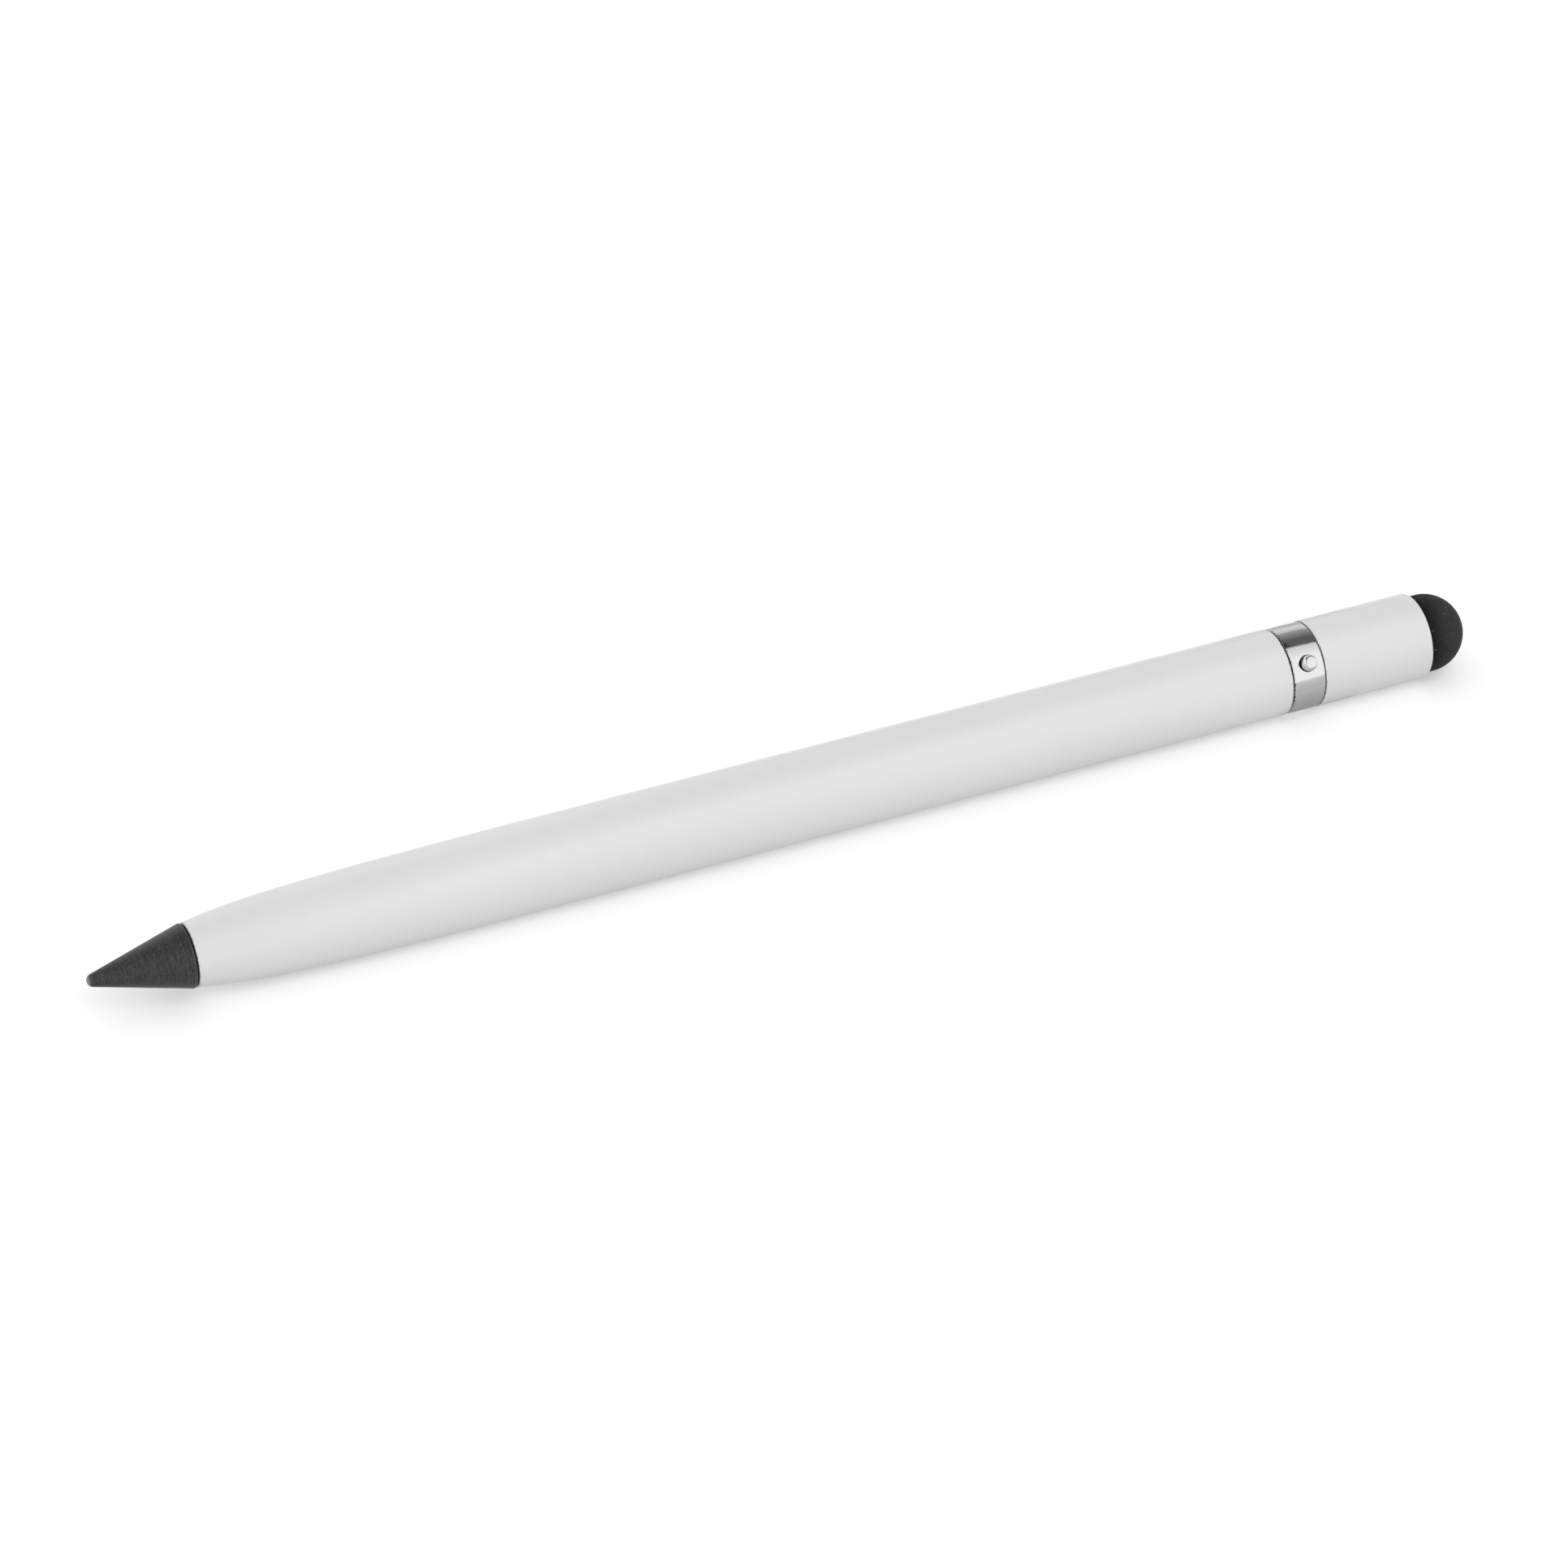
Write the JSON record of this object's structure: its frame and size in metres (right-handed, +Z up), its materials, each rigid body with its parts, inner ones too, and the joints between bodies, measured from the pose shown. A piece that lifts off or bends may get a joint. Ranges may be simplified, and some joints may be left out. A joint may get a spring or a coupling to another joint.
{
  "type": "inkless metal pencil",
  "caption": "Round metal pencil with a graphite-alloy writing nib that unscrews, a chrome ring with a stud, and a screw-on cap that ends in a rubber stylus dome.",
  "frame": {"origin": "on the table under the middle of the pencil's length, with the pencil lying on its side", "axes": "+X along the pencil from the nib to the stylus dome, +Z up, and the ring's stud leans up towards -Y"},
  "size_m": [0.149, 0.0092, 0.009],
  "materials": {
    "graphite_alloy": "satin",
    "steel": "satin",
    "black_washer": "matte",
    "brass": "satin",
    "white_lacquer": "satin",
    "chrome": "polished",
    "black_rubber": "matte",
    "black_plastic": "matte"
  },
  "bodies": {
    "barrel": {"barrel": "white_lacquer", "front_bush": "brass", "connector": "brass"},
    "nib_washer": {"nib_washer": "black_washer"},
    "nib": {"nib": "graphite_alloy", "nib_screw": "steel"},
    "ring": {"ring": "chrome", "stud": "chrome"},
    "cap": {"cap": "white_lacquer", "cap_bush": "brass", "stylus_tip": "black_rubber", "stylus_holder": "black_plastic"}
  },
  "joints": [
    {"name": "nib_travel", "type": "slide", "parent": "barrel", "child": "nib_washer", "axis": [-1, 0, 0], "range_m": [0, 0.006]},
    {"name": "nib_turn", "type": "hinge", "parent": "nib_washer", "child": "nib", "pos_m": [-0.06445, 0, 0.0045], "axis": [-1, 0, 0], "range_deg": [0, 4321]},
    {"name": "cap_travel", "type": "slide", "parent": "barrel", "child": "ring", "axis": [1, 0, 0], "range_m": [0, 0.006]},
    {"name": "cap_turn", "type": "hinge", "parent": "ring", "child": "cap", "pos_m": [0.05663, 0, 0.0045], "axis": [1, 0, 0], "range_deg": [0, 2881]}
  ],
  "couplings": [
    {"joint": "nib_turn", "follows": "nib_travel", "rad_per_m": 12566},
    {"joint": "cap_turn", "follows": "cap_travel", "rad_per_m": 8377.6}
  ]
}
